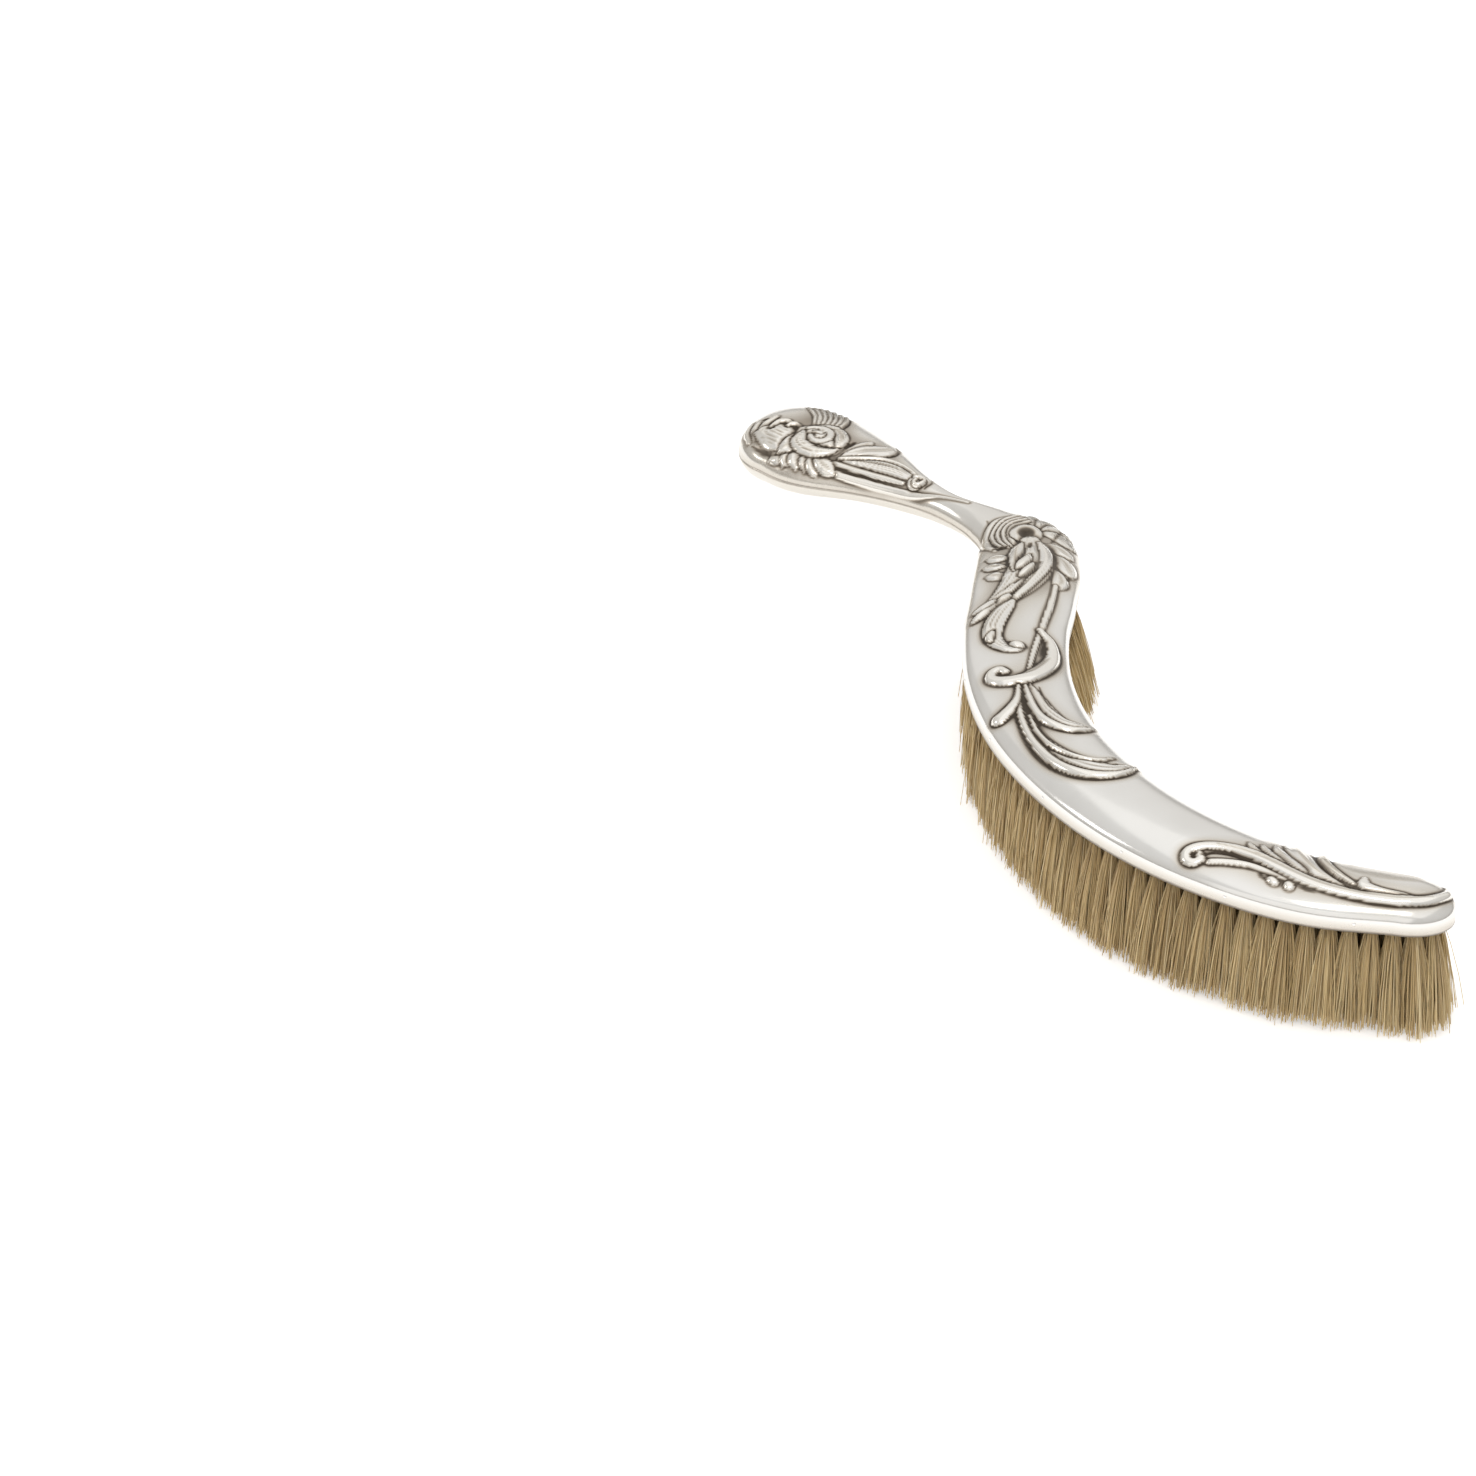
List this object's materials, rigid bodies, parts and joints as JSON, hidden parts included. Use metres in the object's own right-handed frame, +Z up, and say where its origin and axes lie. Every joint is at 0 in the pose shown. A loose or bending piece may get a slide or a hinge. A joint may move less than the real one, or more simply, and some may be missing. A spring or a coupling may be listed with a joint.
{
  "type": "table crumb brush",
  "caption": "Crescent table brush with a struck silver back and bulbed handle over a wooden stock, standing on rows of natural hair tufts.",
  "frame": {"origin": "centre of the box round the whole brush, on the surface that the hair tips stand on", "axes": "+Z up from the hair tips to the silver back; +X along the length from the handle butt to the brush tip; +Y completes a right-handed frame, towards the hollow side of the head's curve"},
  "size_m": [0.327, 0.0896, 0.0404],
  "materials": {
    "silver": "polished silver, dark oxide left in the recesses of the relief",
    "stock_wood": "close-grained hardwood, thin shellac",
    "board_wood": "bare veneer",
    "filling": "cast pitch and plaster",
    "steel": "plain mild steel",
    "brass_wire": "drawn wire",
    "hair": "natural undyed bristle, tan to blond"
  },
  "bodies": {
    "root": {"silver_back": "silver", "handle_underside": "silver", "rim_pins": "silver", "bristle_block": "stock_wood", "cover_board": "board_wood", "head_filling": "filling", "grip_filling_upper": "filling", "grip_filling_lower": "filling", "handle_tang": "steel", "tang_screws": "steel", "draw_wire_1": "brass_wire", "draw_wire_2": "brass_wire", "draw_wire_3": "brass_wire", "draw_wire_4": "brass_wire", "draw_wire_5": "brass_wire", "bristle_row_1": "hair", "bristle_row_2": "hair", "bristle_row_3": "hair", "bristle_row_4": "hair", "bristle_row_5": "hair"}
  },
  "joints": []
}
